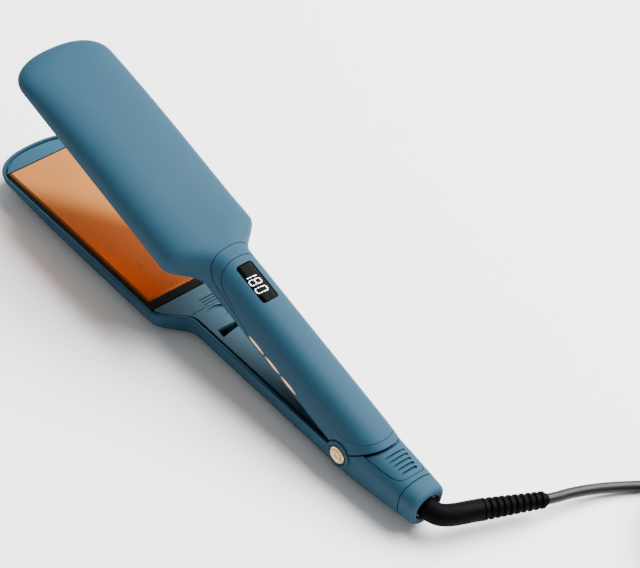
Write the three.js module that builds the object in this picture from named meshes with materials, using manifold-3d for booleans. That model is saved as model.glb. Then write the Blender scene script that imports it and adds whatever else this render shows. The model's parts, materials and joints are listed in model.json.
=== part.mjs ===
// Wide-plate flat iron (hair straightener), opened on its hinge.
// Millimetres, +X toward the plates, +Y the side with the buttons, +Z up.
// Each arm is drawn closed about the hinge line, then the upper arm's group
// is turned open. z = 0 is the mating plane of the two arms while drawing.
import * as THREE from 'three';
import { mergeVertices } from 'three/addons/utils/BufferGeometryUtils.js';
import Module from 'manifold-3d';

const wasm = await Module();
wasm.setup();

// ---------------------------------------------------------------- dimensions
const OPEN_DEG = 15.6;        // rest opening of the arms
const HINGE_Z = -1.4;         // hinge line from the mating plane
const TILT_DEG = 0.7;         // the lower arm rests on its tail and its head
const TABLE_X = -10, TABLE_Z = -16.65;   // a point of the table under the tail
const TIP_X = 246.5;          // head tip
const TAIL_X = -46.5;         // end of the collar
const COLLAR_X = -37.2;       // seam between housing and collar
const HEAD_HW = 26.7;         // half width of the head
const GRIP_HW = 13.2;         // half width of the handle
const TAIL_HW = 9.8;          // half width at the collar end
const NECK0 = 102.4, NECK1 = 118.8;
const HEAD_T = 13.9, GRIP_T = 16.8;
const WALL = 2.0, RIM = 1.6;
const RIM_Z = 0.5;            // shell rims stop this far from the mating plane
const PLATE_X0 = 125.0, PLATE_L = 109.6, PLATE_HW = 22.5, PLATE_TH = 2.8;
const PLATE_TRAVEL = 0.8;
const PLATE_Z = 0.2;          // working face of each plate from the mating plane

const GAP = 0.3;
const EAR_R = 7.2, EAR_Y0 = 10.9, EAR_Y1 = 13.8;
const PIN_R = 2.0;
const BOOT_R = 5.2, CORD_D = 5.2;
const AXIS_Z = -3.4;          // swivel line of the cord boot
const ORIGIN_X = (TIP_X + TAIL_X) / 2;

// ---------------------------------------------------------------- form
const clamp01 = (t) => Math.max(0, Math.min(1, t));
const smooth = (a, b, x) => { const t = clamp01((x - a) / (b - a)); return t * t * (3 - 2 * t); };
const se = (t, n) => Math.pow(Math.max(0, 1 - Math.pow(clamp01(t), n)), 1 / n);
function halfWidth(x) {
  const body = GRIP_HW + (HEAD_HW - GRIP_HW) * smooth(NECK0, NECK1, x);
  const tip = x > 230 ? se((x - 230) / (TIP_X + 0.02 - 230), 2.36) : 1;
  const tail = x < 0 ? (TAIL_HW - GRIP_HW) * Math.pow(clamp01(-x / (0 - TAIL_X)), 1.3) : 0;
  return body * tip + tail;
}
const tipDrop = (x) => (x > 164 ? se((x - 164) / 87.5, 2.1) : 1);
const grip = (x) => GRIP_T + (HEAD_T - GRIP_T) * smooth(96, 140, x);
const depthUp = (x) => grip(x) * tipDrop(x);
const depthDown = (x) => (17.0 - 0.0122 * (x + 8) - (x < -8 ? 4.0 * Math.pow((-8 - x) / 38.5, 1.1) : 0)) * tipDrop(x);
const tailUp = (x) => 11.6 - 4.9 * clamp01((-12 - x) / 34);

// ---------------------------------------------------------------- solids
function solidFromGeometry(geometry, matrix) {
  let g = geometry.clone();
  if (matrix) g.applyMatrix4(matrix);
  g.deleteAttribute('normal');
  g.deleteAttribute('uv');
  g = mergeVertices(g, 1e-4);
  return new wasm.Manifold(new wasm.Mesh({
    numProp: 3,
    vertProperties: new Float32Array(g.attributes.position.array),
    triVerts: new Uint32Array(g.index.array),
  }));
}
function solidFromRings(rings) {
  const n = rings[0].length, verts = [], tris = [];
  rings.forEach((r) => r.forEach((p) => verts.push(p[0], p[1], p[2])));
  for (let i = 0; i + 1 < rings.length; i++) {
    for (let j = 0; j < n; j++) {
      const a = i * n + j, b = i * n + (j + 1) % n, c = a + n, d = b + n;
      tris.push(a, b, d, a, d, c);
    }
  }
  const cap = (k, flip) => {
    const r = rings[k], m = [0, 0, 0];
    r.forEach((p) => { m[0] += p[0] / n; m[1] += p[1] / n; m[2] += p[2] / n; });
    const c = verts.length / 3;
    verts.push(m[0], m[1], m[2]);
    for (let j = 0; j < n; j++) {
      const a = k * n + j, b = k * n + (j + 1) % n;
      if (flip) tris.push(c, b, a); else tris.push(c, a, b);
    }
  };
  cap(0, true);
  cap(rings.length - 1, false);
  return new wasm.Manifold(new wasm.Mesh({
    numProp: 3, vertProperties: new Float32Array(verts), triVerts: new Uint32Array(tris),
  }));
}
const moved = (solid, matrix) => {               // a solid carried along by a matrix
  const m = solid.getMesh(), v = [], p = new THREE.Vector3();
  for (let i = 0; i < m.vertProperties.length; i += m.numProp) {
    p.set(m.vertProperties[i], m.vertProperties[i + 1], m.vertProperties[i + 2]).applyMatrix4(matrix);
    v.push(p.x, p.y, p.z);
  }
  return new wasm.Manifold(new wasm.Mesh({ numProp: 3, vertProperties: new Float32Array(v), triVerts: new Uint32Array(m.triVerts) }));
};
function prismY(points, y0, y1) {                 // side-view outline (x, z), extruded across
  const s = new THREE.Shape(points.map((p) => new THREE.Vector2(p[0], -p[1])));
  const g = new THREE.ExtrudeGeometry(s, { depth: y1 - y0, bevelEnabled: false });
  return solidFromGeometry(g, new THREE.Matrix4().makeTranslation(0, y0, 0).multiply(new THREE.Matrix4().makeRotationX(-Math.PI / 2)));
}
const box = (x0, x1, y0, y1, z0, z1) => solidFromGeometry(
  new THREE.BoxGeometry(x1 - x0, y1 - y0, z1 - z0),
  new THREE.Matrix4().makeTranslation((x0 + x1) / 2, (y0 + y1) / 2, (z0 + z1) / 2));
const cylY = (x, z, r, y0, y1, seg = 32) => solidFromGeometry(
  new THREE.CylinderGeometry(r, r, y1 - y0, seg),
  new THREE.Matrix4().makeTranslation(x, (y0 + y1) / 2, z));
const cylZ = (x, y, r, z0, z1, seg = 20) => solidFromGeometry(
  new THREE.CylinderGeometry(r, r, z1 - z0, seg),
  new THREE.Matrix4().makeTranslation(x, y, (z0 + z1) / 2)
    .multiply(new THREE.Matrix4().makeRotationX(Math.PI / 2)));
const cylX = (y, z, r, x0, x1, seg = 28) => solidFromGeometry(
  new THREE.CylinderGeometry(r, r, x1 - x0, seg),
  new THREE.Matrix4().makeTranslation((x0 + x1) / 2, y, z)
    .multiply(new THREE.Matrix4().makeRotationZ(Math.PI / 2)));
function prismZ(points, z0, z1) {                 // plan outline, extruded up
  const s = new THREE.Shape(points.map((p) => new THREE.Vector2(p[0], p[1])));
  const g = new THREE.ExtrudeGeometry(s, { depth: z1 - z0, bevelEnabled: false });
  return solidFromGeometry(g, new THREE.Matrix4().makeTranslation(0, 0, z0));
}
function plateBlock(x0, x1, hw, z0, z1, bevel, side) { // bevelled long edges on the working face
  const zt = side > 0 ? z0 : z1;                  // working face
  const zb = side > 0 ? z1 : z0;
  const ring = (inset, z) => [[x0 + inset, -hw + inset, z], [x1 - inset, -hw + inset, z],
    [x1 - inset, hw - inset, z], [x0 + inset, hw - inset, z]];
  const zm = zt + (zb - zt) * bevel / Math.abs(zb - zt);
  const rings = [ring(0, zb), ring(0, zm), ring(bevel, zt)];
  if (zt < zb) rings.reverse();
  return solidFromRings(rings);
}

// half dome of an arm: side = +1 above the mating plane, -1 below
const ARC = 20;
function domeRing(x, hw, t, n, side) {
  const ring = [];
  for (let k = 0; k <= ARC; k++) {
    const a = Math.PI * k / ARC, c = Math.cos(a), s = Math.sin(a);
    const y = hw * Math.sign(c) * Math.pow(Math.abs(c), 2 / n);
    const z = t * Math.pow(Math.abs(s), 2 / n);
    ring.push([x, y, side * z]);
  }
  ring.push([x, -hw, -side * 1.2]);
  ring.push([x, hw, -side * 1.2]);
  if (side < 0) ring.reverse();
  return ring;
}
const STATIONS = [-46.5, -45.6, -43, -39, -35, -30, -24, -17, -8, 0, 20, 96, 101, 104, 106.5, 109, 111.5, 114, 116.5, 119,
  125, 132, 140, 164, 185, 200, 212, 222, 230, 233.5, 236.5, 239, 241.2, 243.1, 244.6, 245.6, 246.2, 246.48];
const IN_STATIONS = [-46.5, -30, -17, -8, 0, 20, 98, 103, 106, 109, 112, 115, 119, 128, 140, 164, 190, 210, 222, 230, 235, 239, 241.5, 243.2];
const nExp = (x) => 2.45 + 0.45 * smooth(96, 125, x);
function dome(x0, x1, depth, side) {
  const xs = [x0, ...STATIONS.filter((x) => x > x0 + 0.3 && x < x1 - 0.02), x1];
  return solidFromRings(xs.map((x) => domeRing(x, halfWidth(x), depth(x), nExp(x), side)));
}
function hollow(x0, x1, depth, side, wall = WALL, less = 0) {
  const xs = [x0, ...IN_STATIONS.filter((x) => x > x0 + 0.5 && x < x1 - 0.5), x1];
  return solidFromRings(xs.map((x) => {
    const q = x > 228 ? x + (2.1 + less) * smooth(228, 243, x) : x;              // tip wall
    const rim = RIM + less + (wall - RIM) * (1 - smooth(96, 119, x));
    const deep = wall + less - 0.4 * smooth(200, 235, x);
    return domeRing(x, Math.max(1.2, halfWidth(Math.min(q, TIP_X)) - rim),
      Math.max(1.2, depth(Math.min(q, TIP_X)) - deep), nExp(x), side);
  }));
}
// plan outline with a squared-off round nose, and a round rear where one is wanted
function noseOutline(front, a, hw, n, rear, rearA) {
  const pts = [];
  for (let k = 0; k <= 20; k++) {
    const t = -Math.PI / 2 + Math.PI * k / 20, c = Math.cos(t), s = Math.sin(t);
    pts.push([front - a + a * Math.pow(Math.abs(c), 2 / n), hw * Math.sign(s) * Math.pow(Math.abs(s), 2 / n)]);
  }
  if (!rearA) return [...pts, [rear, hw], [rear, -hw]];
  for (let k = 0; k <= 16; k++) {
    const t = Math.PI / 2 + Math.PI * k / 16;
    pts.push([rear + rearA + rearA * Math.cos(t), hw * Math.sin(t)]);
  }
  return pts;
}
function outlineFromWidth(x0, x1, inset, step = 3) {     // plan outline following the arm
  const xs = [];
  for (let x = x0; x < x1 - 0.01; x += step) xs.push(x);
  xs.push(x1);
  const up = xs.map((x) => [x, halfWidth(x) - inset]);
  const dn = xs.map((x) => [x, -(halfWidth(x) - inset)]).reverse();
  return [...dn.reverse(), ...up.reverse()];
}

// the table's plane, in the arms' own frame
const tiltM = new THREE.Matrix4().makeRotationY(TILT_DEG * Math.PI / 180);
const tiltInv = tiltM.clone().invert();
const tablePoint = new THREE.Vector3(TABLE_X, 0, TABLE_Z).applyMatrix4(tiltM);
const aboveTable = solidFromGeometry(new THREE.BoxGeometry(500, 200, 100),
  new THREE.Matrix4().makeTranslation(tablePoint.x + 60, 0, tablePoint.z + 50).premultiply(tiltInv));

// ---------------------------------------------------------------- scene
const root = new THREE.Group();
const arms = new THREE.Group();
arms.rotation.y = TILT_DEG * Math.PI / 180;
arms.position.set(-ORIGIN_X, 0, -tablePoint.z);
root.add(arms);
const upperHinge = new THREE.Group();
upperHinge.position.set(0, 0, HINGE_Z);
upperHinge.rotation.y = -OPEN_DEG * Math.PI / 180;
arms.add(upperHinge);
const upper = new THREE.Group();
upper.position.set(0, 0, -HINGE_Z);
upperHinge.add(upper);

const BODY = [0x5d8aa0, 0.55, 0.0], DARK = [0x32465a, 0.6, 0.0], BLACK = [0x1d1f22, 0.6, 0.0];
const COPPER = [0xd98f52, 0.32, 0.8], GOLD = [0xe0b68a, 0.35, 0.9], STEEL = [0xb4b8bc, 0.35, 1.0];
const RUBBER = [0x232326, 0.75, 0.0], GLASS = [0x08090b, 0.12, 0.0], CERAMIC = [0xe8e4da, 0.6, 0.0];
const PCB = [0x1f5a3c, 0.5, 0.0], SILICONE = [0xb5482f, 0.7, 0.0], TINNED = [0xc9c9c4, 0.35, 1.0];

function addSolid(group, name, solid, look) {
  const m = solid.getMesh();
  const g = new THREE.BufferGeometry();
  const v = new Float32Array(m.vertProperties.length / m.numProp * 3);
  for (let i = 0; i < v.length / 3; i++) for (let k = 0; k < 3; k++) v[3 * i + k] = m.vertProperties[i * m.numProp + k];
  g.setAttribute('position', new THREE.BufferAttribute(v, 3));
  g.setIndex(new THREE.BufferAttribute(new Uint32Array(m.triVerts), 1));
  g.computeVertexNormals();
  const mat = new THREE.MeshStandardMaterial({ color: look[0], roughness: look[1], metalness: look[2] });
  const mesh = new THREE.Mesh(g, mat);
  mesh.name = name;
  group.add(mesh);
  return mesh;
}
const cutAll = (s, ...cs) => cs.reduce((a, c) => a.subtract(c), s);

// ================================================================ LOWER ARM
{
  const outer = dome(COLLAR_X, TIP_X, depthDown, -1).intersect(box(-60, 260, -40, 40, -40, -RIM_Z)).intersect(aboveTable);
  const inner = hollow(COLLAR_X - 2, TIP_X - 3.2, depthDown, -1);
  let shell = outer.subtract(inner);
  for (const s of [1, -1]) {
    const y0 = s > 0 ? EAR_Y0 : -EAR_Y1, y1 = s > 0 ? EAR_Y1 : -EAR_Y0;
    const ear = cylY(0, HINGE_Z, EAR_R, y0, y1, 40).add(box(-EAR_R, EAR_R, s > 0 ? EAR_Y0 : -12.9, s > 0 ? 12.9 : -EAR_Y0, -9, HINGE_Z));
    shell = shell.add(ear);
    shell = cutAll(shell, cylY(0, HINGE_Z, PIN_R + GAP, y0 - 1, y1 + 1, 24),
      cylY(0, HINGE_Z, 5.0, s > 0 ? 12.8 : -15, s > 0 ? 15 : -12.8, 32));
  }
  // screw bosses standing on the floor of the shell
  for (const x of [30, 46]) shell = shell.add(cylZ(x, 0, 3.2, 1.2 - depthDown(x), -3.0, 18)).subtract(cylZ(x, 0, 1.7, -11, -2, 16));
  shell = shell.add(cylZ(-26, 0, 3.4, 1.2 - depthDown(-26), -3.0, 18)).subtract(cylZ(-26, 0, 1.7, -10, -2, 16));
  addSolid(arms, 'lower_shell', shell, BODY);

  // inner cover of the handle and neck
  let cover = prismZ(outlineFromWidth(14, 119.2, 2.9, 2.6), -2.6, -0.7);
  const oval = [], wedge = [];
  for (let k = 0; k < 20; k++) { const a = 2 * Math.PI * k / 20; oval.push([101 + 4.2 * Math.cos(a), -0.8 + 6.2 * Math.sin(a)]); }
  cover = cover.subtract(prismZ(oval, -1.9, 0));
  cover = cover.subtract(prismZ([[91.2, -4.5], [88.2, -5.2], [86.2, 8.2], [91.6, 7.4]], -3, 0));
  cover = cover.subtract(box(105.8, 106.5, -11, 11, -1.2, 0));
  for (const x of [107.4, 109.2, 111.0]) cover = cover.subtract(box(x, x + 0.9, -7.0, 2.0, -1.6, 0));
  for (const x of [30, 46]) cover = cover.subtract(cylZ(x, 0, 3.3, -1.9, 0, 20)).subtract(cylZ(x, 0, 1.7, -4, 0, 16));
  addSolid(arms, 'lower_inner_cover', cover, DARK);
  for (const [i, x] of [30, 46].entries()) {
    const screw = cylZ(x, 0, 3.0, -1.6, -0.9, 20).add(cylZ(x, 0, 1.4, -9, -1.5, 14));
    addSolid(arms, `lower_cover_screw_${i + 1}`, screw, STEEL);
  }
}
function headParts(group, tag, side) {
  const inside = hollow(100, TIP_X - 3.4, side > 0 ? depthUp : depthDown, side, WALL, 0.4);
  const insideIn = moved(inside, new THREE.Matrix4().makeTranslation(0, 0, -side * (PLATE_TRAVEL + 0.2)));
  const z = (v) => side * v;
  const span = (a, b) => [Math.min(z(a), z(b)), Math.max(z(a), z(b))];
  // insulating frame around the plate
  const o = outlineFromWidth(120.0, 243.6, 2.0, 2.4);
  let [z0, z1] = span(0.9, 2.6);
  let bezel = prismZ(o, z0, z1).subtract(box(PLATE_X0 - 0.4, PLATE_X0 + PLATE_L + 0.35, -PLATE_HW - 0.35, PLATE_HW + 0.35, -9, 9));
  bezel = bezel.intersect(inside);
  addSolid(group, `${tag}_plate_bezel`, bezel, BLACK);
  [z0, z1] = span(PLATE_Z, PLATE_Z + PLATE_TH);
  addSolid(group, `${tag}_heater_plate`, plateBlock(PLATE_X0, PLATE_X0 + PLATE_L, PLATE_HW, z0, z1, 0.9, side).intersect(inside).intersect(insideIn), COPPER);
  [z0, z1] = span(3.3, 5.3);
  addSolid(group, `${tag}_ceramic_heater`, box(132, 216, -9, 9, z0, z1), CERAMIC);
  [z0, z1] = span(7.9, 9.2);
  addSolid(group, `${tag}_heater_carrier`, box(130, 206, -12, 12, z0, z1), BLACK);
  for (const [i, x] of [138, 190].entries()) {
    [z0, z1] = span(5.6, 7.6);
    addSolid(group, `${tag}_float_cushion_${i + 1}`, box(x, x + 12, -7, 7, z0, z1), SILICONE);
  }
}
headParts(arms, 'lower', -1);
addSolid(arms, 'thermistor', box(170, 176, 11, 13.4, -5.4, -3.3), CERAMIC);

// ---------------------------------------------------------------- tail
// side view of the arm's slanting rear end: in its own closed frame, and as it stands over the tail
const REAR = [[7.0, -9.846], [-16.0, 19.7]];
const swing = (p) => {
  const a = OPEN_DEG * Math.PI / 180, x = p[0], z = p[1] - HINGE_Z;
  return [x * Math.cos(a) - z * Math.sin(a), x * Math.sin(a) + z * Math.cos(a) + HINGE_Z];
};
const beyondRear = (down, back) => {
  const [p, q] = REAR.map(swing).map((v) => [v[0] + back, v[1] - down]);
  return prismY([p, [30, p[1] - 5], [30, 60], [q[0] - 10, 60], q], -40, 40);
};
const domeTail = (x0, x1, grow, cutTop) => {
  const xs = [x0, ...STATIONS.filter((x) => x > x0 + 0.3 && x < x1 - 0.3), x1];
  return solidFromRings(xs.map((x) => domeRing(x, halfWidth(x) + grow, tailUp(x) + grow, 2.45, 1)));
};
{
  const padX0 = -34.6;
  let shell = domeTail(COLLAR_X, -6.5, 0).subtract(domeTail(COLLAR_X - 2, -5, -2.0));
  shell = shell.intersect(box(-60, 20, -40, 40, -0.1, 40));
  shell = shell.subtract(cylY(0, HINGE_Z, EAR_R + 0.45, -40, 40, 64)).subtract(beyondRear(0.4, -0.4));
  // saddle opening for the lock slider
  const saddle = (g, x0) => {
    const pts = [[10, 10.2 + g], [-14, 10.2 + g], [-23, 9.2 + g], [-29, 8.2 + g], [-32.4, 7.0 + g], [-34.2, 4.8 + g], [x0, 2.0 + g], [x0, -4.6 - g], [-34, -6.8 - g], [-31, -8.2 - g], [-23, -9.2 - g], [-14, -10.2 - g], [10, -10.2 - g]].reverse();
    return prismZ(pts, 4.0, 30);
  };
  shell = shell.subtract(saddle(GAP, padX0 - GAP));
  // floor of the slider's track, closed under the pad
  shell = shell.add(box(-35.0, -21.5, -9.8, 9.8, 0.6, 2.0).intersect(domeTail(COLLAR_X, -8, -0.6)));
  shell = shell.subtract(cylZ(-26, 0, 1.7, -2, 12, 16));
  addSolid(arms, 'tail_housing', shell, BODY);
  // lock slider: ribbed pad, its front kept clear of the turning arm
  let pad = domeTail(COLLAR_X, -8, -0.02).subtract(domeTail(COLLAR_X - 1, -6, -1.6)).intersect(saddle(0, padX0));
  pad = pad.subtract(beyondRear(0, -1.4)).subtract(cylY(0, HINGE_Z, 13.5, -40, 40, 64));
  pad = pad.add(box(-29, -22, -3, 3, 2.4, 8.0).intersect(domeTail(COLLAR_X, -8, -1.0)));
  for (let k = 0; k < 5; k++) pad = pad.subtract(box(-22.2 - 2.52 * k, -21.2 - 2.52 * k, -6.5 + 0.5 * k, 5.8 - 0.4 * k, 9.2 - 0.38 * k, 20));
  addSolid(arms, 'lock_slider', pad, BODY);
  addSolid(arms, 'tail_screw', cylZ(-26, 0, 1.4, -9, 0.7, 14), STEEL);
  // collar
  const ring = (x0, x1, g) => {
    const xs = [x0, ...STATIONS.filter((x) => x > x0 + 0.3 && x < x1 - 0.3), x1];
    return solidFromRings(xs.map((x) => {
      const soft = x < -44.5 ? 0.5 * (-44.5 - x) : 0;
      const r = [], up = tailUp(x) - soft, dn = Math.min(depthDown(x), 16.1) - soft, hw = halfWidth(x) - soft;
      for (let k = 0; k < 36; k++) {
        const a = 2 * Math.PI * k / 36, c = Math.cos(a), s = Math.sin(a);
        r.push([x, (hw + g) * Math.sign(c) * Math.pow(Math.abs(c), 2 / 2.45),
          Math.sign(s) * ((s > 0 ? up : dn) + g) * Math.pow(Math.abs(s), 2 / 2.45)]);
      }
      return r;
    }));
  };
  let collar = ring(TAIL_X, COLLAR_X - GAP, 0).intersect(box(-60, 0, -40, 40, -40, 40));
  collar = collar.subtract(ring(-38.5, -30, -2.2)).subtract(cylX(0, AXIS_Z, 6.6, -60, -30, 32));
  addSolid(arms, 'tail_collar', collar, BODY);
}

// ---------------------------------------------------------------- hinge
addSolid(arms, 'hinge_pin', cylY(0, HINGE_Z, PIN_R, -12.3, 12.3, 20), STEEL);
for (const s of [1, -1]) {
  const y = (a, b) => (s > 0 ? [a, b] : [-b, -a]);
  let cap = cylY(0, HINGE_Z, 4.6, ...y(13.1, 13.9), 32);
  cap = cap.add(cylY(0, HINGE_Z, 4.1, ...y(13.7, 14.2), 32)).subtract(cylY(0, HINGE_Z, 3.0, ...y(14.0, 15), 32))
    .add(cylY(0, HINGE_Z, 1.6, ...y(13.7, 14.15), 24));
  addSolid(arms, s > 0 ? 'hinge_cap_left' : 'hinge_cap_right', cap, GOLD);
}
function extrudeTube(points, r, sides, steps, curveType = 'centripetal') {
  const curve = new THREE.CatmullRomCurve3(points.map((p) => new THREE.Vector3(...p)), false, curveType);
  const s = new THREE.Shape();
  for (let k = 0; k < sides; k++) {
    const a = 2 * Math.PI * k / sides;
    if (k === 0) s.moveTo(r * Math.cos(a), r * Math.sin(a)); else s.lineTo(r * Math.cos(a), r * Math.sin(a));
  }
  s.closePath();
  return solidFromGeometry(new THREE.ExtrudeGeometry(s, { steps, bevelEnabled: false, extrudePath: curve }));
}
{
  const pts = [];
  pts.push([9.6, 2.6, HINGE_Z - 5.2], [5.5, 2.4, HINGE_Z - 4.2]);
  for (let k = 0; k <= 30; k++) {
    const a = -Math.PI / 2 + 0.5 + 2 * Math.PI * k / 12;
    pts.push([3.2 * Math.cos(a), 2.0 - 4.0 * k / 30, HINGE_Z + 3.2 * Math.sin(a)]);
  }
  const end = pts[pts.length - 1];
  pts.push([end[0] * 0.3 + 5.2, -2.4, HINGE_Z + 3.6], [9.6, -2.6, HINGE_Z + 5.6]);
  addSolid(arms, 'hinge_spring', extrudeTube(pts, 0.42, 6, 84), STEEL);
}

// ================================================================ UPPER ARM
{
  const full = (x0, x1) => dome(x0, x1, depthUp, 1);
  const UP = 1;
  const outer = full(-18, TIP_X).intersect(box(-60, 260, -40, 40, RIM_Z, 60));
  // slanting rear end, closed by a wall
  const behind = (g) => {
    const [p, q] = REAR, d = Math.hypot(q[0] - p[0], q[1] - p[1]), nx = (q[1] - p[1]) / d * g, nz = -(q[0] - p[0]) / d * g;
    return prismY([[p[0] + nx, p[1] + nz], [q[0] + nx, q[1] + nz], [-60, 25], [-60, p[1] + nz]], -40, 40);
  };
  const inner = hollow(-17, TIP_X - 3.2, depthUp, 1).subtract(behind(WALL));
  let skin = outer.subtract(inner).subtract(behind(0)).subtract(cylY(0, HINGE_Z, 6.1, -EAR_Y0 + 0.3, EAR_Y0 - 0.3, 40));
  const earCut = cylY(0, HINGE_Z, EAR_R + 0.45, EAR_Y0 - 0.35, 30, 48).add(cylY(0, HINGE_Z, EAR_R + 0.45, -30, -EAR_Y0 + 0.35, 48));
  skin = skin.subtract(earCut);

  // seams: a squared round nose in plan, running down the side to the rim
  const bandSide = (g) => prismY([[70.4, -6], [70.4, 0.9], [71, 2.2], [74, 3.75], [86, 5.2], [94, 6.1], [99.2, 7.3], [102.4, 9.4],
    [104.6, 11.8], [106.4, 14.4], [109, 20], [109, 60]].map((p) => [p[0] + g, p[1] - g]).concat([[-60, 60], [-60, -6 - g]]), -40, 40);
  const capSide = (g) => prismY([[-9.8, 15.2], [-6.1, 13.4], [-1.8, 10.9], [1.6, 8.9], [10, 8.0], [25, 7.0], [60, 6.4], [80, 6.5], [89.5, 7.7],
    [94.7, 9.6], [97.8, 12.2], [100, 15], [101, 20], [101, 60]].map((p) => [p[0] + (p[0] > 50 ? g : 0), p[1] - g]).concat([[-30, 60], [-30, 24 - g]]), -40, 40);
  const zone = (front, a, hw, rear, rearA) => prismZ(noseOutline(front, a, hw, 2.6, rear, rearA), -7, 61);
  const bandZone = zone(107.3, 12, 14.6, -40, 0).intersect(bandSide(0));
  const bandZoneGap = zone(107.3 + GAP, 12, 14.6 + GAP, -41, 0).intersect(bandSide(GAP));
  const capZone = zone(100.4, 12, 13.4, -9.8, 12).intersect(capSide(0));
  const capZoneGap = zone(100.4 + GAP, 12, 13.4 + GAP, -9.8 - GAP, 12).intersect(capSide(GAP));
  const head = skin.subtract(bandZoneGap);
  addSolid(upper, 'upper_head_shell', head, BODY);

  // handle band: side walls, nose and rear of the handle
  let band = skin.intersect(bandZone).subtract(capZoneGap);
  const BTN = [[33.4, 44.4], [45.6, 56.6], [57.6, 69.0]];
  for (const [a, b] of BTN) band = band.subtract(box(a - 0.35, b + 0.35, 9, 20, 1.35, 3.75));
  addSolid(upper, 'upper_handle_band', band, BODY);

  // handle cover with the display window let into it
  let lid = skin.intersect(capZone);
  const WX0 = 74.4, WX1 = 96.2, WY = 4.6;
  lid = lid.subtract(box(WX0 - GAP, WX1 + GAP, -WY - GAP, WY + GAP, 5, 40));
  addSolid(upper, 'upper_handle_cover', lid, BODY);
  const win = skin.intersect(box(WX0, WX1, -WY, WY, 5, 40));
  addSolid(upper, 'display_window', win, GLASS);
  addSolid(upper, 'display_module', box(75.6, 95, -6, 6, 9.4, 12.7), BLACK);
  addSolid(upper, 'control_board', box(24, 98, -7.2, 7.2, 7.6, 9.1), PCB);

  // side buttons
  const names = ['button_minus', 'button_plus', 'button_power'];
  BTN.forEach(([a, b], i) => {
    let btn = skin.intersect(box(a, b, 9, 20, 1.65, 3.45));
    btn = btn.add(box((a + b) / 2 - 1.6, (a + b) / 2 + 1.6, 9.0, 12.2, 1.75, 3.35));
    addSolid(upper, names[i], btn, GOLD);
  });
  addSolid(upper, 'button_board', box(32, 72, 6.6, 7.9, 3.1, 7.2), PCB);

  // inner cover with the hinge knuckles
  let cover = prismZ(outlineFromWidth(14, 119.2, 2.9, 2.6), 0.7, 2.6);
  cover = cover.subtract(box(31, 73, 7.9, 20, -1, 4));
  for (const s of [1, -1]) {
    const y0 = s > 0 ? 3.8 : -10.2, y1 = s > 0 ? 10.2 : -3.8;
    cover = cover.add(cylY(0, HINGE_Z, 5.6, y0, y1, 32));
    cover = cover.add(box(1, 15, s > 0 ? 3.8 : -9.4, s > 0 ? 9.4 : -3.8, 0.7, 2.6));
    cover = cover.subtract(cylY(0, HINGE_Z, PIN_R + GAP, y0 - 1, y1 + 1, 24));
  }
  for (const x of [26, 96]) cover = cover.subtract(cylZ(x, 0, 3.3, -1, 1.9, 20)).subtract(cylZ(x, 0, 1.7, -1, 4, 16));
  addSolid(upper, 'upper_inner_cover', cover, DARK);
  for (const [i, x] of [26, 96].entries()) {
    const screw = cylZ(x, 0, 3.0, 0.9, 1.6, 20).add(cylZ(x, 0, 1.4, 1.5, 6.8, 14));
    addSolid(upper, `upper_cover_screw_${i + 1}`, screw, STEEL);
  }
}
headParts(upper, 'upper', 1);
addSolid(upper, 'thermal_fuse', box(150, 162, 11, 13.4, 3.3, 5.4), TINNED);

// ================================================================ CORD
const ELBOW = [[-45.2, 0, AXIS_Z], [-48.6, 0, AXIS_Z], [-52.6, -1.9, -3.5], [-56.0, -7.2, -3.8],
  [-60.0, -17.6, -4.5], [-66.5, -34.0, -5.9], [-73.0, -50.7, -7.5]];
{
  // barrel that turns in the collar
  let barrel = cylX(0, AXIS_Z, 6.2, -44.9, -35.4, 28);
  barrel = barrel.subtract(cylX(0, AXIS_Z, 2.9, -50, -30, 20));
  addSolid(arms, 'swivel_barrel', barrel, BLACK);
  // moulded elbow and ribbed sleeve, one piece
  const p = ELBOW.map((q) => new THREE.Vector3(...q));
  const curve = new THREE.CatmullRomCurve3(p, false, 'centripetal');
  const rings = [], N = 20, M = 64;
  const len = curve.getLength();
  const ribStart = 0.44;
  const frames = curve.computeFrenetFrames(M, false);
  for (let i = 0; i <= M; i++) {
    const u = i / M, c = curve.getPointAt(u);
    let r = BOOT_R;
    if (u > ribStart) {
      const t = (u - ribStart) / (1 - ribStart);
      r = 5.2 - 1.15 * t;
      const k = Math.round((u - ribStart) * M) % 4;
      if (k === 1 || k === 2) r -= 0.75;
    }
    const ring = [];
    for (let j = 0; j < N; j++) {
      const a = 2 * Math.PI * j / N;
      const v = c.clone().addScaledVector(frames.normals[i], r * Math.cos(a)).addScaledVector(frames.binormals[i], r * Math.sin(a));
      ring.push([v.x, v.y, v.z]);
    }
    rings.push(ring);
  }
  addSolid(arms, 'cord_boot', solidFromRings(rings), RUBBER);
}
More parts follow.
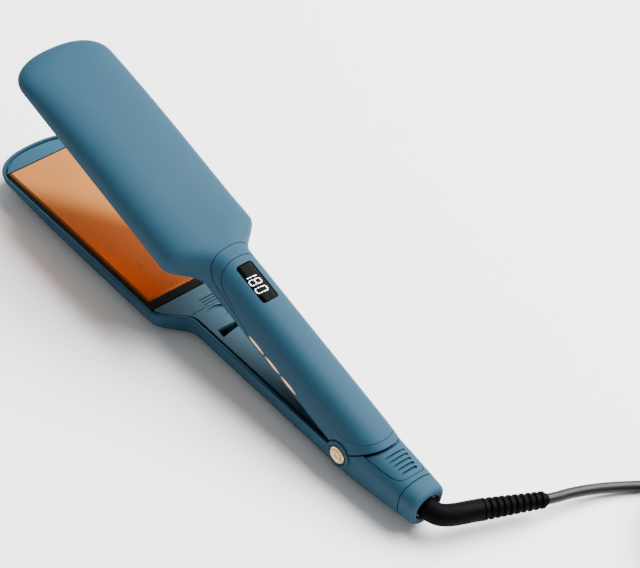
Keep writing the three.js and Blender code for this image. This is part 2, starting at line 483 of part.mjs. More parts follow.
// the free cord lies on the table, in the root frame
const COIL_C = [-234.1, -114.1], TURN_R = [23.4, 28.6, 33.8];
const R = CORD_D / 2;
arms.updateMatrixWorld(true);
const inRoot = (q) => new THREE.Vector3(...q).applyMatrix4(arms.matrixWorld).toArray();
const LEAD = [inRoot([-73.12, -51.02, -7.56]), inRoot([-74.6, -56.6, -8.4]), [-176.2, -63.5, 8.1], [-178.4, -71.5, 6.7], [-181.4, -79.8, 5.4], [-185.0, -87.8, 4.3],
  [-189.0, -95.4, 3.4], [-193.6, -103.6, 2.8], [-198.6, -113.9, R + 0.05], [-202.9, -126.9, R + 0.05]];
addSolid(root, 'cord_lead', extrudeTube(LEAD, R, 10, 9), RUBBER);
{
  // wound part of the cord: one ring of its outer shape
  const r0 = TURN_R[0] - R, r1 = TURN_R[2] + R - 0.3, z0 = 0, z1 = 3 * CORD_D, c = 1.4;
  const prof = [[r0 + c, z0], [r1 - c, z0], [r1, z0 + c], [r1, z1 - c], [r1 - c, z1], [r0 + c, z1], [r0, z1 - c], [r0, z0 + c], [r0 + c, z0]]
    .map((q) => new THREE.Vector2(q[0], q[1]));
  const toZ = new THREE.Matrix4().makeRotationX(Math.PI / 2);
  let ring = solidFromGeometry(new THREE.LatheGeometry(prof, 44),
    new THREE.Matrix4().makeTranslation(COIL_C[0], COIL_C[1], 0).multiply(toZ));
    // seats where the two free ends meet the ring
  const seat = (path) => extrudeTube(path, R + GAP, 10, 9);
  ring = ring.subtract(seat(LEAD));
  const TAIL = [[-267.9, -113.6, R + 0.05], [-268.1, -106.8, R + 0.05], [-269.2, -98.6, 3.2], [-270.6, -91.0, 4.6], [-271.6, -84.4, 6.0]];
  ring = ring.subtract(extrudeTube(TAIL, R + GAP, 10, 5));
  addSolid(root, 'cord_coil', ring, RUBBER);
  addSolid(root, 'cord_end', extrudeTube(TAIL, R, 10, 4), RUBBER);
  // strap around the wound cord
  const a = 75 * Math.PI / 180;
  const place = new THREE.Matrix4().makeTranslation(COIL_C[0], COIL_C[1], 0).multiply(new THREE.Matrix4().makeRotationZ(a));
  const strap = box(r0 - 2.3, r1 + 1.5, -5, 5, 0.1, z1 + 1.5).subtract(box(r0 - 1.1, r1 + 0.3, -6, 6, -1, z1 + 0.3));
  addSolid(root, 'coil_strap', moved(strap, place), BLACK);
}
{
  // flat two-pin plug lying on the table
  const PX = -272.4, PY = -76.0, PZ = 7.0;
  const out = [[-5.2, 0], [5.2, 0], [8.0, 5.5], [13.2, 20.0], [13.2, 32.0], [11.8, 34.5], [-11.8, 34.5], [-13.2, 32.0], [-13.2, 20.0], [-8.0, 5.5]]
    .map((p) => [p[0] + PX, p[1] + PY]);
  const ring = (g, z) => out.map((p) => [PX + (p[0] - PX) * g, PY + 17 + (p[1] - PY - 17) * g, z]);
  const body = solidFromRings([ring(0.93, 0.1), ring(1, 1.6), ring(1, 12.4), ring(0.93, 13.9)]);
  addSolid(root, 'plug_body', body.subtract(cylAlongY(PX - 9.2, PZ, 2.3, PY + 30, PY + 40)).subtract(cylAlongY(PX + 9.2, PZ, 2.3, PY + 30, PY + 40)), RUBBER);
  const boot = cylAlongY(PX, PZ, 4.4, PY - 7.4, PY - 0.3);
  addSolid(root, 'plug_relief', boot, RUBBER);
  for (const [i, dx] of [[1, -9.2], [2, 9.2]]) {
    addSolid(root, `plug_pin_${i}`, cylAlongY(PX + dx, PZ, 2.0, PY + 30.3, PY + 53.2), TINNED);
  }
}
function cylAlongY(x, z, r, y0, y1) { return cylY(x, z, r, y0, y1, 20); }
export default root;
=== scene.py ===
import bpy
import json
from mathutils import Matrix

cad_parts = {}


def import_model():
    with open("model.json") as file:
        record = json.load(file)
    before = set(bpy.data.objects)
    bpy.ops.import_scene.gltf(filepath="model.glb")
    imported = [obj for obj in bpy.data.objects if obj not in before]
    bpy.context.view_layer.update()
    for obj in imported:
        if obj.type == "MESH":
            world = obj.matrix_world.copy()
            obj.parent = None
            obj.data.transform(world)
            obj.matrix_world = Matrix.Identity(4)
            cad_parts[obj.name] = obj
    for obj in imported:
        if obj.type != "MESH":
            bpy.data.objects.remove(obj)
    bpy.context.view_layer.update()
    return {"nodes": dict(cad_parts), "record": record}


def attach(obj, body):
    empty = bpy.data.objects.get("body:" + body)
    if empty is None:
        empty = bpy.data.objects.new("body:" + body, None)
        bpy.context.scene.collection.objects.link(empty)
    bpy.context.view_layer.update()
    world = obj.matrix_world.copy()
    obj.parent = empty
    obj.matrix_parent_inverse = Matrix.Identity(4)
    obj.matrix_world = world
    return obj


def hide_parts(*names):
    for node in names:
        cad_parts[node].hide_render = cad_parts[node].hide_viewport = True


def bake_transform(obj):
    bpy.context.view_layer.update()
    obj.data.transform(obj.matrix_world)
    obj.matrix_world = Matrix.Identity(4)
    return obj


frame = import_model()

import json, math
import bpy, bmesh
from mathutils import Matrix, Vector, noise

MM = 0.001
# ------------------------------------------------------------------ dimensions, mm, as in the CAD
TILT, OPEN = math.radians(0.7), math.radians(15.6)
HZ = -1.4
OFF = Vector((-100.0, 0.0, 16.5265874))
TIP_X, TAIL_X, COLLAR_X = 246.5, -46.5, -37.2
HEAD_HW, GRIP_HW, TAIL_HW = 26.7, 13.2, 9.8
NECK0, NECK1 = 102.4, 118.8
HEAD_T, GRIP_T = 13.9, 16.8
RIM_Z = 0.5
AXIS_Z = -3.4
LOWER = Matrix.Translation(OFF) @ Matrix.Rotation(TILT, 4, 'Y')
UPPER = LOWER @ Matrix.Translation((0, 0, HZ)) @ Matrix.Rotation(-OPEN, 4, 'Y') @ Matrix.Translation((0, 0, -HZ))
ROOT = Matrix.Identity(4)

# ------------------------------------------------------------------ camera
cam = bpy.data.objects.new("camera", bpy.data.cameras.new("camera"))
bpy.context.scene.collection.objects.link(cam)
right = Vector((-0.662528, -0.738028, 0.127950))
up = Vector((0.586381, -0.404747, 0.701667))
fwd = Vector((0.466063, -0.539902, -0.700922))
cam.matrix_world = Matrix(((right.x, up.x, -fwd.x, -0.559642), (right.y, up.y, -fwd.y, 0.578965),
                           (right.z, up.z, -fwd.z, 0.835932), (0, 0, 0, 1)))
cam.data.sensor_width = 36
cam.data.lens = 135.75
cam.data.clip_start, cam.data.clip_end = 0.05, 20
bpy.context.scene.camera = cam

# ------------------------------------------------------------------ form
def clamp01(t): return max(0.0, min(1.0, t))
def smooth(a, b, x):
    t = clamp01((x - a) / (b - a)); return t * t * (3 - 2 * t)
def se(t, n): return max(0.0, 1 - clamp01(t) ** n) ** (1 / n)
def half_width(x):
    body = GRIP_HW + (HEAD_HW - GRIP_HW) * smooth(NECK0, NECK1, x)
    tip = se((x - 230) / (TIP_X + 0.02 - 230), 2.36) if x > 230 else 1
    tail = (TAIL_HW - GRIP_HW) * clamp01(x / TAIL_X) ** 1.3 if x < 0 else 0
    return body * tip + tail
def tip_drop(x): return se((x - 164) / 87.5, 2.1) if x > 164 else 1
def depth_up(x): return (GRIP_T + (HEAD_T - GRIP_T) * smooth(96, 140, x)) * tip_drop(x)
def depth_down(x):
    return (17.0 - 0.0122 * (x + 8) - (4.0 * ((-8 - x) / 38.5) ** 1.1 if x < -8 else 0)) * tip_drop(x)
def tail_up(x): return 11.6 - 4.9 * clamp01((-12 - x) / 34)
def n_exp(x): return 2.45 + 0.45 * smooth(96, 125, x)

# ------------------------------------------------------------------ mesh helpers
def make(name, verts, faces, place=ROOT, body=None, mats=(), smooth_angle=35, slot=None):
    me = bpy.data.meshes.new(name)
    me.from_pydata([tuple((place @ Vector(v)) * MM) for v in verts], [], faces)
    me.validate(); me.update()
    ob = bpy.data.objects.new(name, me)
    bpy.context.scene.collection.objects.link(ob)
    for m in mats: me.materials.append(m)
    shade(ob, smooth_angle)
    if body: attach(ob, body)
    return ob
def shade(ob, angle=35):
    me = ob.data
    bm = bmesh.new(); bm.from_mesh(me)
    lim = math.radians(angle)
    for f in bm.faces: f.smooth = True
    for e in bm.edges:
        e.smooth = not (len(e.link_faces) == 2 and e.calc_face_angle(0.0) > lim)
    bm.to_mesh(me); bm.free(); me.update()
def loft(rings, close=True, caps=True):
    n = len(rings[0]); verts = [p for r in rings for p in r]; faces = []
    for i in range(len(rings) - 1):
        for j in range(n if close else n - 1):
            a, b = i * n + j, i * n + (j + 1) % n
            faces.append((a, b, b + n, a + n))
    if caps and close:
        faces.append(tuple(reversed(range(n))))
        faces.append(tuple(range((len(rings) - 1) * n, len(rings) * n)))
    return verts, faces
def fix_normals(ob):
    bm = bmesh.new(); bm.from_mesh(ob.data)
    bmesh.ops.remove_doubles(bm, verts=bm.verts, dist=2e-7)
    bmesh.ops.recalc_face_normals(bm, faces=bm.faces)
    bm.to_mesh(ob.data); bm.free()
def temp(verts, faces, place=ROOT):
    ob = make("tmp_cutter", verts, faces, place)
    fix_normals(ob)
    return ob
def cut(ob, other, op='DIFFERENCE', keep=False):
    m = ob.modifiers.new("b", 'BOOLEAN'); m.operation = op; m.object = other; m.solver = 'EXACT'
    dg = bpy.context.evaluated_depsgraph_get(); dg.update()
    me = bpy.data.meshes.new_from_object(ob.evaluated_get(dg), depsgraph=dg)
    ob.modifiers.clear(); old = ob.data; ob.data = me; bpy.data.meshes.remove(old)
    if not keep: bpy.data.objects.remove(other)
    return ob
def copy(ob, name):
    o = ob.copy(); o.data = ob.data.copy(); o.name = name
    bpy.context.scene.collection.objects.link(o)
    return o
def prism(points, z0, z1, place):
    n = len(points)
    v = [(p[0], p[1], z0) for p in points] + [(p[0], p[1], z1) for p in points]
    f = [tuple(reversed(range(n))), tuple(range(n, 2 * n))] + [(i, (i + 1) % n, n + (i + 1) % n, n + i) for i in range(n)]
    return temp(v, f, place)
def boxt(x0, x1, y0, y1, z0, z1, place): return prism([(x0, y0), (x1, y0), (x1, y1), (x0, y1)], z0, z1, place)
def cyl_y(x, z, r, y0, y1, place, seg=96):
    rings = [[(x + r * math.cos(2 * math.pi * k / seg), y, z + r * math.sin(2 * math.pi * k / seg)) for k in range(seg)] for y in (y0, y1)]
    return temp(*loft(rings), place)
def lathe(profile, centre, axis, seg=64, closed=False):
    """profile of (radius, along axis); returns verts, faces"""
    ax = Vector(axis).normalized(); a = ax.orthogonal().normalized(); b = ax.cross(a)
    c = Vector(centre); rings = []
    for r, h in profile:
        rings.append([tuple(c + ax * h + (a * math.cos(2 * math.pi * k / seg) + b * math.sin(2 * math.pi * k / seg)) * max(r, 1e-4)) for k in range(seg)])
    if closed: rings.append(rings[0])
    return loft(rings, True, not closed)

# ------------------------------------------------------------------ materials
def mat(name, color, rough=0.5, metal=0.0, bump=0.0, scale=400.0, rough_var=0.05, col_var=0.04, spec=0.5,
        coat=0.0, coat_rough=0.2, sheen=0.0, detail=4.0, stretch=None, bump2=0.0, scale2=60.0, dist=0.0002):
    m = bpy.data.materials.new(name); m.use_nodes = True
    nt = m.node_tree; N = nt.nodes; L = nt.links
    p = N["Principled BSDF"]
    p.inputs["Metallic"].default_value = metal
    p.inputs["Specular IOR Level"].default_value = spec
    p.inputs["Coat Weight"].default_value = coat
    p.inputs["Coat Roughness"].default_value = coat_rough
    p.inputs["Sheen Weight"].default_value = sheen
    p.inputs["Sheen Roughness"].default_value = 0.5
    tc = N.new("ShaderNodeTexCoord")
    src = tc.outputs["Object"]
    if stretch:
        mp = N.new("ShaderNodeMapping"); mp.inputs["Scale"].default_value = stretch
        L.new(src, mp.inputs["Vector"]); src = mp.outputs["Vector"]
    n1 = N.new("ShaderNodeTexNoise"); n1.inputs["Scale"].default_value = scale; n1.inputs["Detail"].default_value = detail
    n2 = N.new("ShaderNodeTexNoise"); n2.inputs["Scale"].default_value = scale2; n2.inputs["Detail"].default_value = 3
    L.new(src, n1.inputs["Vector"]); L.new(tc.outputs["Object"], n2.inputs["Vector"])
    mix = N.new("ShaderNodeMix"); mix.data_type = 'RGBA'
    c = Vector(color[:3])
    mix.inputs["A"].default_value = (*(c * (1 - col_var)), 1); mix.inputs["B"].default_value = (*[min(1, v) for v in c * (1 + col_var)], 1)
    L.new(n2.outputs["Fac"], mix.inputs["Factor"]); L.new(mix.outputs["Result"], p.inputs["Base Color"])
    mr = N.new("ShaderNodeMapRange")
    mr.inputs["From Min"].default_value = 0.3; mr.inputs["From Max"].default_value = 0.7
    mr.inputs["To Min"].default_value = max(0.02, rough - rough_var); mr.inputs["To Max"].default_value = min(1, rough + rough_var)
    L.new(n2.outputs["Fac"], mr.inputs["Value"]); L.new(mr.outputs["Result"], p.inputs["Roughness"])
    last = None
    if bump:
        b = N.new("ShaderNodeBump"); b.inputs["Strength"].default_value = bump; b.inputs["Distance"].default_value = dist
        L.new(n1.outputs["Fac"], b.inputs["Height"]); last = b
    if bump2:
        b2 = N.new("ShaderNodeBump"); b2.inputs["Strength"].default_value = bump2; b2.inputs["Distance"].default_value = dist
        L.new(n2.outputs["Fac"], b2.inputs["Height"])
        if last: L.new(last.outputs["Normal"], b2.inputs["Normal"])
        last = b2
    if last: L.new(last.outputs["Normal"], p.inputs["Normal"])
    return m

BLUE = mat("soft_touch_blue", (0.0150, 0.0490, 0.0780), rough=0.60, bump=0.10, scale=2600, rough_var=0.04, col_var=0.03, spec=0.07, scale2=45, dist=0.00008)
INNER = mat("inner_blue", (0.021, 0.053, 0.075), rough=0.55, bump=0.10, scale=2200, spec=0.15, scale2=60, dist=0.00008)
BLACKP = mat("black_moulding", (0.004, 0.004, 0.0045), rough=0.5, bump=0.12, scale=1800, spec=0.3, dist=0.0001)
COPPER = mat("copper_coating", (0.26, 0.060, 0.009), rough=0.27, metal=0.9, bump=0.02, scale=1400, rough_var=0.02, col_var=0.02, dist=0.00002)
GOLD = mat("copper_gold_trim", (0.66, 0.42, 0.22), rough=0.34, metal=0.85, bump=0.04, scale=900, rough_var=0.05, dist=0.00005)
OXIDE = mat("black_oxide", (0.012, 0.014, 0.017), rough=0.5, metal=0.4, bump=0.05, scale=1500, dist=0.00005)
STEEL = mat("zinc_steel", (0.62, 0.62, 0.63), rough=0.32, metal=1.0, bump=0.05, scale=1500, dist=0.00005)
NICKEL = mat("nickel", (0.74, 0.72, 0.68), rough=0.22, metal=1.0, bump=0.03, scale=1500, dist=0.00003)
CERAM = mat("ceramic_white", (0.78, 0.75, 0.68), rough=0.6, bump=0.1, scale=1500)
SILI = mat("silicone_red", (0.42, 0.07, 0.035), rough=0.55, bump=0.1, scale=1200)
PCBM = mat("circuit_green", (0.012, 0.11, 0.05), rough=0.4, bump=0.15, scale=900)
RUBBER = mat("boot_rubber", (0.0016, 0.0016, 0.002), rough=0.52, bump=0.10, scale=2200, spec=0.02, rough_var=0.07, scale2=90, dist=0.0001)
CORDM = mat("cord_jacket", (0.005, 0.005, 0.0055), rough=0.44, bump=0.10, scale=1800, spec=0.22, scale2=120, dist=0.0001)
PLUGM = mat("plug_black", (0.005, 0.005, 0.0055), rough=0.5, bump=0.25, scale=1400, spec=0.25, dist=0.0001)
def blend(m, other, x0, x1, span):
    # fades the base colour along the piece's own length
    nt = m.node_tree; N = nt.nodes; L = nt.links; p = N["Principled BSDF"]
    was = p.inputs["Base Color"].links[0].from_socket
    tc = N.new("ShaderNodeTexCoord"); sep = N.new("ShaderNodeSeparateXYZ"); L.new(tc.outputs["Object"], sep.inputs["Vector"])
    wob = N.new("ShaderNodeMath"); wob.operation = 'MULTIPLY_ADD'; wob.inputs[1].default_value = span
    L.new(sep.outputs["Y"], wob.inputs[0]); L.new(sep.outputs["X"], wob.inputs[2])
    r = N.new("ShaderNodeMapRange"); r.interpolation_type = 'SMOOTHSTEP'
    r.inputs["From Min"].default_value = x0; r.inputs["From Max"].default_value = x1
    L.new(wob.outputs["Value"], r.inputs["Value"])
    mx = N.new("ShaderNodeMix"); mx.data_type = 'RGBA'; mx.inputs["B"].default_value = (*other, 1)
    L.new(r.outputs["Result"], mx.inputs["Factor"]); L.new(was, mx.inputs["A"]); L.new(mx.outputs["Result"], p.inputs["Base Color"])
WINDOW = mat("window_black", (0.001, 0.001, 0.0012), rough=0.14, bump=0.0, spec=0.012, rough_var=0.02, col_var=0.0)
STRAP = mat("strap_cloth", (0.015, 0.015, 0.017), rough=0.85, bump=0.6, scale=1300, sheen=0.3, dist=0.0003)

# ------------------------------------------------------------------ cord
CORD_D, BOOT_R = 5.2, 5.2
CR = CORD_D / 2
COIL_C = (-234.1, -114.1)
TURN_R = (23.4, 28.6, 33.8)
def world(q): return tuple(LOWER @ Vector(q))
LEAD = [world((-73.12, -51.02, -7.56)), world((-74.6, -56.6, -8.4)), (-176.2, -63.5, 8.1), (-178.4, -71.5, 6.7), (-181.4, -79.8, 5.4), (-185.0, -87.8, 4.3),
        (-189.0, -95.4, 3.4), (-193.6, -103.6, 2.8), (-198.6, -113.9, CR + 0.05), (-202.9, -126.9, CR + 0.05)]
TAIL = [(-267.9, -113.6, 13.05), (-268.0, -107.5, 12.7), (-268.8, -100.5, 11.0), (-270.4, -93.0, 8.8), (-272.0, -86.5, 7.4), (-272.4, -81.5, 7.0)]
def catmull(pts, step=2.0):
    P = [Vector(p) for p in pts]; out = []
    for i in range(len(P) - 1):
        p0, p1, p2, p3 = P[max(i - 1, 0)], P[i], P[i + 1], P[min(i + 2, len(P) - 1)]
        n = max(2, int((p2 - p1).length / step))
        for k in range(n):
            t = k / n
            out.append(0.5 * ((2 * p1) + (p2 - p0) * t + (2 * p0 - 5 * p1 + 4 * p2 - p3) * t * t + (3 * p1 - p0 - 3 * p2 + p3) * t ** 3))
    out.append(P[-1])
    return out
SLOTS = [(2, 0), (1, 0), (0, 0), (0, 1), (0, 2), (1, 2), (1, 1), (2, 1), (2, 2)]
SWAP = 60.0                          # degrees over which a turn changes its place
STARTS = [285.0]
for gap in (360, 335, 360, 335, 335, 335, 335): STARTS.append(STARTS[-1] + gap)
def slot_at(deg):
    i, w = 0, 0.0
    for k, t in enumerate(STARTS):
        if deg >= t: i, w = k, smooth(0.0, 1.0, (deg - t) / SWAP)
    a, b = (SLOTS[i], SLOTS[i + 1]) if deg >= STARTS[0] else (SLOTS[0], SLOTS[0])
    r = TURN_R[a[0]] * (1 - w) + TURN_R[b[0]] * w
    return r, CR + 0.05 + CORD_D * (a[1] * (1 - w) + b[1] * w)
coil_pts = []
A0 = math.atan2(LEAD[-1][1] - COIL_C[1], LEAD[-1][0] - COIL_C[0])
total = A0 + math.pi + 2 * math.pi * 8
n_coil = int(total / (2 * math.pi) * 44)
for k in range(1, n_coil):
    ang = A0 - total * k / n_coil
    r, z = slot_at(math.degrees(total * k / n_coil))
    coil_pts.append(Vector((COIL_C[0] + r * math.cos(ang), COIL_C[1] + r * math.sin(ang), z)))
path = catmull(LEAD) + coil_pts + catmull(TAIL)
for _ in range(2):                    # ease the joins
    q = [p.copy() for p in path]
    for i in range(1, len(path) - 1):
        if 28 < i < len(path) - 12: q[i] = path[i] * 0.5 + (path[i - 1] + path[i + 1]) * 0.25
    path = q
def tube(path, radius, sides=14):
    """path of points, radius as number or function of index"""
    P = [Vector(p) for p in path]; rings = []
    t0 = (P[1] - P[0]).normalized(); nrm = t0.orthogonal().normalized()
    for i, p in enumerate(P):
        t = (P[min(i + 1, len(P) - 1)] - P[max(i - 1, 0)]).normalized()
        nrm = (nrm - t * nrm.dot(t)).normalized(); bi = t.cross(nrm)
        r = radius(i) if callable(radius) else radius
        rings.append([tuple(p + nrm * (r * math.cos(2 * math.pi * k / sides)) + bi * (r * math.sin(2 * math.pi * k / sides))) for k in range(sides)])
    return rings
v, f = loft(tube(path, CR, 14))
cord = make("mains_cord", v, f, ROOT, None, [CORDM], 60)
fix_normals(cord); shade(cord, 60)
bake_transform(cord)
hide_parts("cord_lead", "cord_coil", "cord_end")
NODES = frame["nodes"]

# ------------------------------------------------------------------ arm shells
def g_dome(t, n): return max(0.0, 1 - (1 - clamp01(t)) ** n) ** (1 / n)
def columns(x_start, tip=True, step=2.2, fine=None):
    """outline points and the spine point that each looks at, from the near rear round the tip to the far rear"""
    O, S = [], []
    xs = []
    x = x_start
    end = 218.0 if tip else fine
    while x < end - 0.01:
        xs.append(x); x += 1.1 if 98 < x < 124 else step * (2.0 if x < 96 or 130 < x < 200 else 1.0)
    for x in xs: O.append((x, half_width(x))); S.append((x, 0.0))
    if tip:
        for x in (218, 220.5, 223, 225.5, 228): O.append((x, half_width(x)))
        L, n = TIP_X - 230, 2.36
        M = 26
        for k in range(M + 1):
            ph = math.pi / 2 * k / M
            O.append((230 + L * math.sin(ph) ** (2 / n), HEAD_HW * max(0.0, math.cos(ph)) ** (2 / n) if k < M else 0.0))
        m = len(O) - len(S)
        for k in range(m):
            w = (k + 0) / (m - 1)
            S.append((218 + 17.5 * (1 - (1 - w) ** 1.6), 0.0))
    else:
        O.append((end, half_width(end))); S.append((end, 0.0))
    if tip:
        O2 = [(x, -y) for x, y in O[-2::-1]]; S2 = S[-2::-1]
        return O + O2, S + S2
    return O, S
def normals_in(O):
    N = []
    for i in range(len(O)):
        a = Vector(O[max(i - 1, 0)]); b = Vector(O[min(i + 1, len(O) - 1)])
        t = (b - a).normalized(); N.append(Vector((t.y, -t.x)))          # inward when going round anticlockwise from +y side
    return N
def head_shell(x_start, depth, side, wall=1.6, lip0=0.45, rim=RIM_Z, rows=26):
    O, S = columns(x_start)
    N = normals_in(O)
    if (Vector(S[3]) - Vector(O[3])).dot(N[3]) < 0: N = [-v for v in N]
    N[0] = Vector((0, -1)); N[-1] = Vector((0, 1))
    def dome_point(i, t, d, shrink):
        o = Vector(O[i]) + N[i] * d; s = Vector(S[i]); p = o + (s - o) * t
        x = p.x
        T = depth(min(x, TIP_X)) - shrink
        return (p.x, p.y, side * max(T * g_dome(t, n_exp(x)), rim + lp(i) * 0.999 if shrink == 0 else rim + 1.6))
    grid = []
    ts = [(1 - math.cos(math.pi / 2 * k / rows)) for k in range(rows + 1)]
    ts = [t ** 1.25 for t in ts]
    def lp(i): return 0.05 + (lip0 - 0.05) * smooth(-9, -3, O[i][0])
    def row(fn): grid.append([fn(i) for i in range(len(O))])
    for t in reversed(ts): row(lambda i, t=t: dome_point(i, t, wall, 2.0))
    row(lambda i: (*(Vector(O[i]) + N[i] * wall), side * (rim + lp(i))))
    for b in (30, 60, 90):
        a = math.radians(b)
        row(lambda i, a=a: (*(Vector(O[i]) + N[i] * (wall - lp(i) + lp(i) * math.cos(a))), side * (rim + lp(i) * (1 - math.sin(a)))))
    for b in (90, 60, 30):
        a = math.radians(b)
        row(lambda i, a=a: (*(Vector(O[i]) + N[i] * (lp(i) - lp(i) * math.cos(a))), side * (rim + lp(i) * (1 - math.sin(a)))))
    row(lambda i: (*O[i], side * (rim + lp(i))))
    for t in ts[1:]: row(lambda i, t=t: dome_point(i, t, 0.0, 0.0))
    verts, faces = [], []
    n = len(O)
    for r in grid: verts += r
    R = len(grid)
    for k in range(R - 1):
        for i in range(n - 1):
            a = k * n + i
            faces.append((a, a + 1, a + n + 1, a + n))
    # rear end between the inner and outer skins
    for col in (0, n - 1):
        for k in range(R // 2):
            a, b, c, d = k * n + col, (k + 1) * n + col, (R - 2 - k) * n + col, (R - 1 - k) * n + col
            if k + 1 < R - 2 - k: faces.append((a, b, c, d))
    return verts, faces
def wall_loft(xs, hw, depth, side, wall=2.0, lip=0.4, rim=RIM_Z, seg=64, grow=0.0, n_of=n_exp):
    """handle wall: closed ring section of outer arc, rims and inner arc, along x"""
    rings = []
    for x in xs:
        a, T, n = hw(x) + grow, depth(x) + grow, n_of(x)
        pts = []
        def arc(a, T, lo, rev=False):
            out = []
            for k in range(seg + 1):
                th = math.pi * k / seg
                c, s = math.cos(th), math.sin(th)
                out.append((a * math.copysign(abs(c) ** (2 / n), c), max(T * abs(s) ** (2 / n), lo)))
            return out[::-1] if rev else out
        outer = arc(a, T, rim + lip); inner = arc(a - wall, T - wall, rim + lip, True)
        pts += outer
        for b in (60, 90):
            r = math.radians(90 - b) ; pts.append((-(a - lip + lip * math.sin(r)), rim + lip * (1 - math.cos(r))))
        for b in (90, 60):
            r = math.radians(90 - b); pts.append((-(a - wall + lip - lip * math.sin(r)), rim + lip * (1 - math.cos(r))))
        pts += inner
        for b in (60, 90):
            r = math.radians(90 - b); pts.append(((a - wall + lip - lip * math.sin(r)), rim + lip * (1 - math.cos(r))))
        for b in (90, 60):
            r = math.radians(90 - b); pts.append(((a - lip + lip * math.sin(r)), rim + lip * (1 - math.cos(r))))
        rings.append([(x, p[0], side * p[1]) for p in pts])
    return loft(rings)
def nose(front, a, hw, n, rear, rear_a, seg=56):
    pts = []
    for k in range(seg + 1):
        t = -math.pi / 2 + math.pi * k / seg; c, q = math.cos(t), math.sin(t)
        pts.append((front - a + a * abs(c) ** (2 / n), hw * math.copysign(abs(q) ** (2 / n), q)))
    if not rear_a: return pts + [(rear, hw), (rear, -hw)]
    for k in range(seg - 7):
        t = math.pi / 2 + math.pi * k / (seg - 8)
        pts.append((rear + rear_a + rear_a * math.cos(t), hw * math.sin(t)))
    return pts
def side(points, y0, y1, place):
    n = len(points)
    v = [(x, y0, z) for x, z in points] + [(x, y1, z) for x, z in points]
    return temp(v, [tuple(range(n)), tuple(reversed(range(n, 2 * n)))] + [(i, n + i, n + (i + 1) % n, (i + 1) % n) for i in range(n)], place)
def soften(points, a, b, step=0.9):
    """a smooth curve through points[a:b]"""
    P = [Vector((x, 0, z)) for x, z in points[a:b]]
    return list(points[:a]) + [(p.x, p.z) for p in catmull(P, step)] + list(points[b:])
REAR = [(7.0, -9.846), (-16.0, 19.7)]
def swing(p):
    c, q = math.cos(OPEN), math.sin(OPEN); x, z = p[0], p[1] - HZ
    return (x * c - z * q, x * q + z * c + HZ)
def beyond_rear(down, back):
    p, q = [(v[0] + back, v[1] - down) for v in map(swing, REAR)]
    return side([p, (30, p[1] - 5), (30, 60), (q[0] - 10, 60), q], -40, 40, LOWER)
def behind(g):
    p, q = REAR; d = math.hypot(q[0] - p[0], q[1] - p[1]); nx, nz = (q[1] - p[1]) / d * g, -(q[0] - p[0]) / d * g
    return side([(p[0] + nx, p[1] + nz), (q[0] + nx, q[1] + nz), (-60, 25), (-60, p[1] + nz)], -40, 40, UPPER)
def band_side(g):
    c = [(70.4, 0.9), (71, 2.2), (74, 3.75), (86, 5.2), (94, 6.1), (99.2, 7.3), (102.4, 9.4), (104.6, 11.8), (106.4, 14.4), (109, 20)]
    c = soften(c, 0, len(c))
    return side([(x + g, z - g) for x, z in [(70.4, -6)] + c + [(109, 60)]] + [(-60, 60), (-60, -6 - g)], -40, 40, UPPER)
def cap_side(g, soft=False):
    c = [(-9.8, 15.2), (-6.1, 13.4), (-1.8, 10.9), (1.6, 8.9), (10, 8.0), (25, 7.0), (60, 6.4), (80, 6.5), (89.5, 7.7), (94.7, 9.6), (97.8, 12.2), (100, 15), (101, 20)]
    c = soften(c, 0, len(c), 1.2)
    def w(x): return g if not soft else g * (0.16 + 0.84 * smooth(72, 90, x) + 0.30 * (1 - smooth(2, 14, x)))
    return side([(x + (w(x) if x > 50 else 0), z - w(x)) for x, z in c + [(101, 60)]] + [(-30, 60), (-30, 24 - g)], -40, 40, UPPER)
def frange(a, b, s):
    n = max(1, round((b - a) / s)); return [a + (b - a) * k / n for k in range(n + 1)]
GAP = 0.34

# upper head
v, f = head_shell(64.0, depth_up, 1)
head = make("upper_head_skin", v, f, UPPER, None, [BLUE]); fix_normals(head)
def zone(front, hw, rear, rear_a, side_part):
    z = prism(nose(front, 12, hw, 2.6, rear, rear_a), -7, 61, UPPER)
    return cut(z, side_part, 'INTERSECT')
cut(head, zone(107.3 + GAP, 14.6 + GAP, -41, 0, band_side(GAP)))
shade(head, 38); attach(head, "upper_arm"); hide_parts("upper_head_shell")

# upper handle: band and cover
def block(x0, x1, shrink, side_z):
    """the solid form of an arm between x0 and x1, less a margin"""
    rings = []
    xs = [x for x in frange(x0, 96, 1.5) + frange(96.6, x1, 0.8)] if x1 > 97 else frange(x0, x1, 0.8)
    for x in xs:
        a, T, n = half_width(x) - shrink, depth_up(x) - shrink, n_exp(x)
        r = []
        for k in range(73):
            th = math.pi * k / 72; c, q = math.cos(th), math.sin(th)
            r.append((x, a * math.copysign(abs(c) ** (2 / n), c), T * abs(q) ** (2 / n)))
        r += [(x, -a, side_z), (x, a, side_z)]
        rings.append(r)
    return temp(*loft(rings), UPPER)
base = block(-18, 113.0, 0.0, -2)
cut(base, boxt(-60, 200, -40, 40, -40, RIM_Z, UPPER))
core = block(-17, 116.0, 2.0, -3)
cut(core, behind(2.0))
cut(base, core); cut(base, behind(0.0))
cut(base, cyl_y(0, HZ, 6.1, -10.6, 10.6, UPPER, 96))
for y0, y1 in ((10.55, 30), (-30, -10.55)): cut(base, cyl_y(0, HZ, 7.65, y0, y1, UPPER, 96))
band = copy(base, "handle_band")
cut(band, zone(107.3, 14.6, -40, 0, band_side(0)), 'INTERSECT')
capgap = prism(nose(100.4 + GAP, 12, 13.4 + GAP, 2.6, -9.8 - 0.22, 12), -7, 61, UPPER)
cut(capgap, cap_side(GAP, True), 'INTERSECT')
cut(band, capgap)
lid = copy(base, "handle_cover")
cut(lid, zone(100.4, 13.4, -9.8, 12, cap_side(0)), 'INTERSECT')
bpy.data.objects.remove(base)
WX0, WX1, WY = 74.4, 96.2, 4.6
